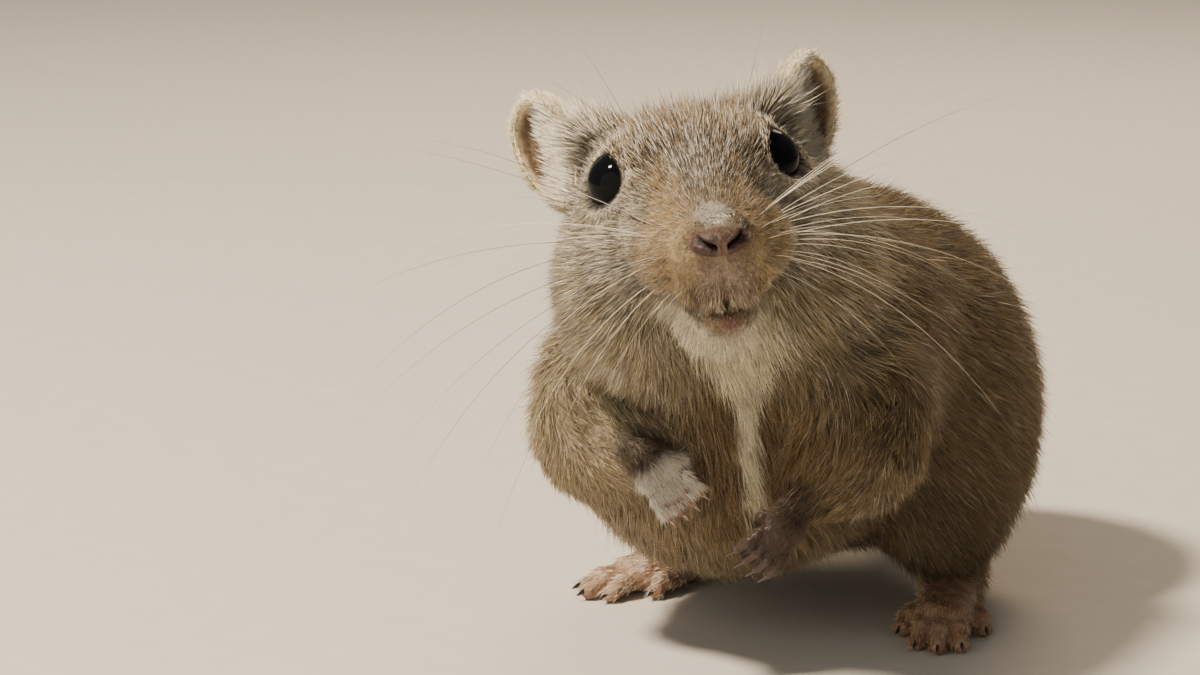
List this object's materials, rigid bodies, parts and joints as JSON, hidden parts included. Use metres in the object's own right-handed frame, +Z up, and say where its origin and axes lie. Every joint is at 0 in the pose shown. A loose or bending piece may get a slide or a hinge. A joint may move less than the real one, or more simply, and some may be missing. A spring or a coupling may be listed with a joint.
{
  "type": "gerbil",
  "caption": "Mongolian gerbil risen on its hind feet, looking to its left, forepaws hanging, tufted tail laid on the floor.",
  "frame": {"origin": "middle of the bounding box's base, on the floor the gerbil stands on", "axes": "the body faces -Y, its left side is +X and +Z is up; the head is turned to its left"},
  "size_m": [0.091, 0.1374, 0.0617],
  "materials": {
    "fur": "short soft agouti fur",
    "ear": "thin skin with short pale hairs",
    "bare_skin": "thin skin with sparse hairs and dark horn claws",
    "nose": "moist bare skin",
    "eye": "wet and glossy"
  },
  "bodies": {
    "root": {"ear_left": "ear", "ear_right": "ear", "eye_left": "eye", "eye_right": "eye", "foreleg_left": "fur", "foreleg_right": "fur", "forepaw_left": "bare_skin", "forepaw_right": "bare_skin", "head": "fur", "hind_foot_left": "bare_skin", "hind_foot_right": "bare_skin", "neck": "fur", "nose": "nose", "tail_base": "fur", "tail_middle": "fur", "tail_tip": "fur", "thigh_left": "fur", "thigh_right": "fur", "torso": "fur"}
  },
  "joints": []
}
